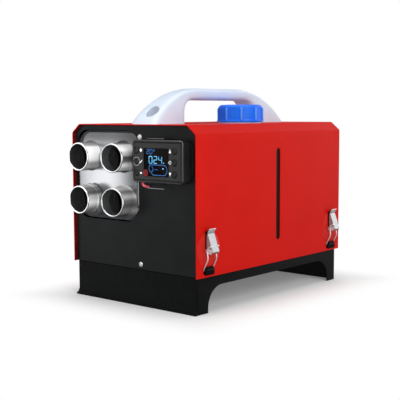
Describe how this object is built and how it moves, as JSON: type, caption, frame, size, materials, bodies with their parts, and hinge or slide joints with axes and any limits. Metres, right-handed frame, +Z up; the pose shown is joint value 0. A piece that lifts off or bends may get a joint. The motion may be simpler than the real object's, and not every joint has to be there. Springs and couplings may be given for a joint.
{
  "type": "portable diesel air heater",
  "caption": "Portable diesel air heater in a red lift-off steel hood, with round hot-air outlets, a clip-on controller, a carrying handle and draw latches.",
  "frame": {"origin": "on the floor under the middle of the outer box", "axes": "+Z up, -Y out of the front with the outlets and the controller, +X towards the side with the level slot"},
  "size_m": [0.2784, 0.39, 0.3163],
  "materials": {
    "black_steel": "black powder coat, low sheen",
    "red_steel": "red powder coat, satin",
    "galvanised_steel": "dull zinc-coated sheet",
    "stainless_steel": "plain stainless tube",
    "zinc_steel": "bright zinc plating",
    "cast_aluminium": "cast and brushed",
    "white_polyethylene": "blow-moulded, soft sheen",
    "blue_polypropylene": "moulded, satin",
    "black_plastic": "moulded, fine grain",
    "gloss_black_plastic": "moulded, glossy",
    "smoked_acrylic": "dark and smooth",
    "circuit_board": "green solder mask",
    "black_rubber": "matt rubber",
    "pink_wire_sheath": "pink-red wire sheath"
  },
  "bodies": {
    "heater": {"base_tray": "black_steel", "front_panel": "black_steel", "rear_panel": "black_steel", "red_cover": "red_steel", "heater_shelf": "galvanised_steel", "heater_casing_lower": "black_plastic", "heater_casing_upper": "black_plastic", "heat_exchanger": "cast_aluminium", "burner_tube": "stainless_steel", "glow_plug": "stainless_steel", "blower_motor": "galvanised_steel", "control_board": "circuit_board", "exhaust_stub": "stainless_steel", "intake_stub": "black_plastic", "outlet_manifold": "cast_aluminium", "fuel_tank": "white_polyethylene", "level_window": "smoked_acrylic", "fuel_pump": "galvanised_steel", "fuel_filter": "white_polyethylene", "power_socket": "black_plastic", "inlet_guard": "black_plastic", "controller_holder": "black_plastic", "controller_housing": "gloss_black_plastic", "controller_board": "circuit_board", "controller_screen": "smoked_acrylic", "controller_lead": "pink_wire_sheath", "front_screw_upper": "zinc_steel", "front_screw_lower": "zinc_steel", "rear_screw_upper": "zinc_steel", "rear_screw_lower": "zinc_steel", "fuel_line_tank": "black_rubber", "fuel_line_pump": "black_rubber", "fuel_line_heater": "black_rubber", "latch_plate_front_right": "black_steel", "latch_hook_front_right": "black_steel", "latch_plate_rear_right": "black_steel", "latch_hook_rear_right": "black_steel", "latch_plate_front_left": "black_steel", "latch_hook_front_left": "black_steel", "latch_plate_rear_left": "black_steel", "latch_hook_rear_left": "black_steel"},
    "cap_ring": {"cap_seal": "black_rubber"},
    "cap": {"fuel_cap": "blue_polypropylene"},
    "rotor": {"motor_shaft": "stainless_steel", "combustion_fan": "black_plastic", "blower_wheel": "black_plastic"},
    "key_left_high": {"key_left_high": "gloss_black_plastic"},
    "key_left_middle": {"key_left_middle": "gloss_black_plastic"},
    "key_left_low": {"key_left_low": "gloss_black_plastic"},
    "key_right_high": {"key_right_high": "gloss_black_plastic"},
    "key_right_middle": {"key_right_middle": "gloss_black_plastic"},
    "key_right_low": {"key_right_low": "gloss_black_plastic"},
    "lever_front_right": {"latch_lever_front_right": "zinc_steel"},
    "bail_front_right": {"latch_bail_front_right": "zinc_steel"},
    "lever_rear_right": {"latch_lever_rear_right": "zinc_steel"},
    "bail_rear_right": {"latch_bail_rear_right": "zinc_steel"},
    "lever_front_left": {"latch_lever_front_left": "zinc_steel"},
    "bail_front_left": {"latch_bail_front_left": "zinc_steel"},
    "lever_rear_left": {"latch_lever_rear_left": "zinc_steel"},
    "bail_rear_left": {"latch_bail_rear_left": "zinc_steel"}
  },
  "joints": [
    {"name": "cap_rise", "type": "slide", "parent": "heater", "child": "cap_ring", "axis": [0, 0, 1], "range_m": [0, 0.01]},
    {"name": "cap_turn", "type": "hinge", "parent": "cap_ring", "child": "cap", "pos_m": [0.0565, 0.0155, 0.275], "axis": [0, 0, 1], "range_deg": [0, 720]},
    {"name": "rotor_spin", "type": "hinge", "parent": "heater", "child": "rotor", "pos_m": [-0.054, 0.013, 0.164], "axis": [0, 1, 0], "continuous": true},
    {"name": "key_left_high_press", "type": "slide", "parent": "heater", "child": "key_left_high", "axis": [0, 1, 0], "range_m": [0, 0.0006], "stiffness_N_per_m": 300},
    {"name": "key_left_middle_press", "type": "slide", "parent": "heater", "child": "key_left_middle", "axis": [0, 1, 0], "range_m": [0, 0.0006], "stiffness_N_per_m": 300},
    {"name": "key_left_low_press", "type": "slide", "parent": "heater", "child": "key_left_low", "axis": [0, 1, 0], "range_m": [0, 0.0006], "stiffness_N_per_m": 300},
    {"name": "key_right_high_press", "type": "slide", "parent": "heater", "child": "key_right_high", "axis": [0, 1, 0], "range_m": [0, 0.0006], "stiffness_N_per_m": 300},
    {"name": "key_right_middle_press", "type": "slide", "parent": "heater", "child": "key_right_middle", "axis": [0, 1, 0], "range_m": [0, 0.0006], "stiffness_N_per_m": 300},
    {"name": "key_right_low_press", "type": "slide", "parent": "heater", "child": "key_right_low", "axis": [0, 1, 0], "range_m": [0, 0.0006], "stiffness_N_per_m": 300},
    {"name": "lever_front_right_open", "type": "hinge", "parent": "heater", "child": "lever_front_right", "pos_m": [0.1335, -0.143, 0.089], "axis": [0, 1, 0], "range_deg": [0, 110]},
    {"name": "bail_front_right_swing", "type": "hinge", "parent": "lever_front_right", "child": "bail_front_right", "pos_m": [0.13624, -0.143, 0.09652], "axis": [0, 1, 0], "range_deg": [-110, 0]},
    {"name": "lever_rear_right_open", "type": "hinge", "parent": "heater", "child": "lever_rear_right", "pos_m": [0.1335, 0.169, 0.089], "axis": [0, 1, 0], "range_deg": [0, 110]},
    {"name": "bail_rear_right_swing", "type": "hinge", "parent": "lever_rear_right", "child": "bail_rear_right", "pos_m": [0.13624, 0.169, 0.09652], "axis": [0, 1, 0], "range_deg": [-110, 0]},
    {"name": "lever_front_left_open", "type": "hinge", "parent": "heater", "child": "lever_front_left", "pos_m": [-0.1335, -0.143, 0.089], "axis": [0, -1, 0], "range_deg": [0, 110]},
    {"name": "bail_front_left_swing", "type": "hinge", "parent": "lever_front_left", "child": "bail_front_left", "pos_m": [-0.13624, -0.143, 0.09652], "axis": [0, -1, 0], "range_deg": [-110, 0]},
    {"name": "lever_rear_left_open", "type": "hinge", "parent": "heater", "child": "lever_rear_left", "pos_m": [-0.1335, 0.169, 0.089], "axis": [0, -1, 0], "range_deg": [0, 110]},
    {"name": "bail_rear_left_swing", "type": "hinge", "parent": "lever_rear_left", "child": "bail_rear_left", "pos_m": [-0.13624, 0.169, 0.09652], "axis": [0, -1, 0], "range_deg": [-110, 0]}
  ],
  "couplings": [
    {"joint": "cap_rise", "follows": "cap_turn", "m_per_rad": 0.00079577},
    {"joint": "bail_front_right_swing", "follows": "lever_front_right_open", "ratio": -1},
    {"joint": "bail_rear_right_swing", "follows": "lever_rear_right_open", "ratio": -1},
    {"joint": "bail_front_left_swing", "follows": "lever_front_left_open", "ratio": -1},
    {"joint": "bail_rear_left_swing", "follows": "lever_rear_left_open", "ratio": -1}
  ]
}
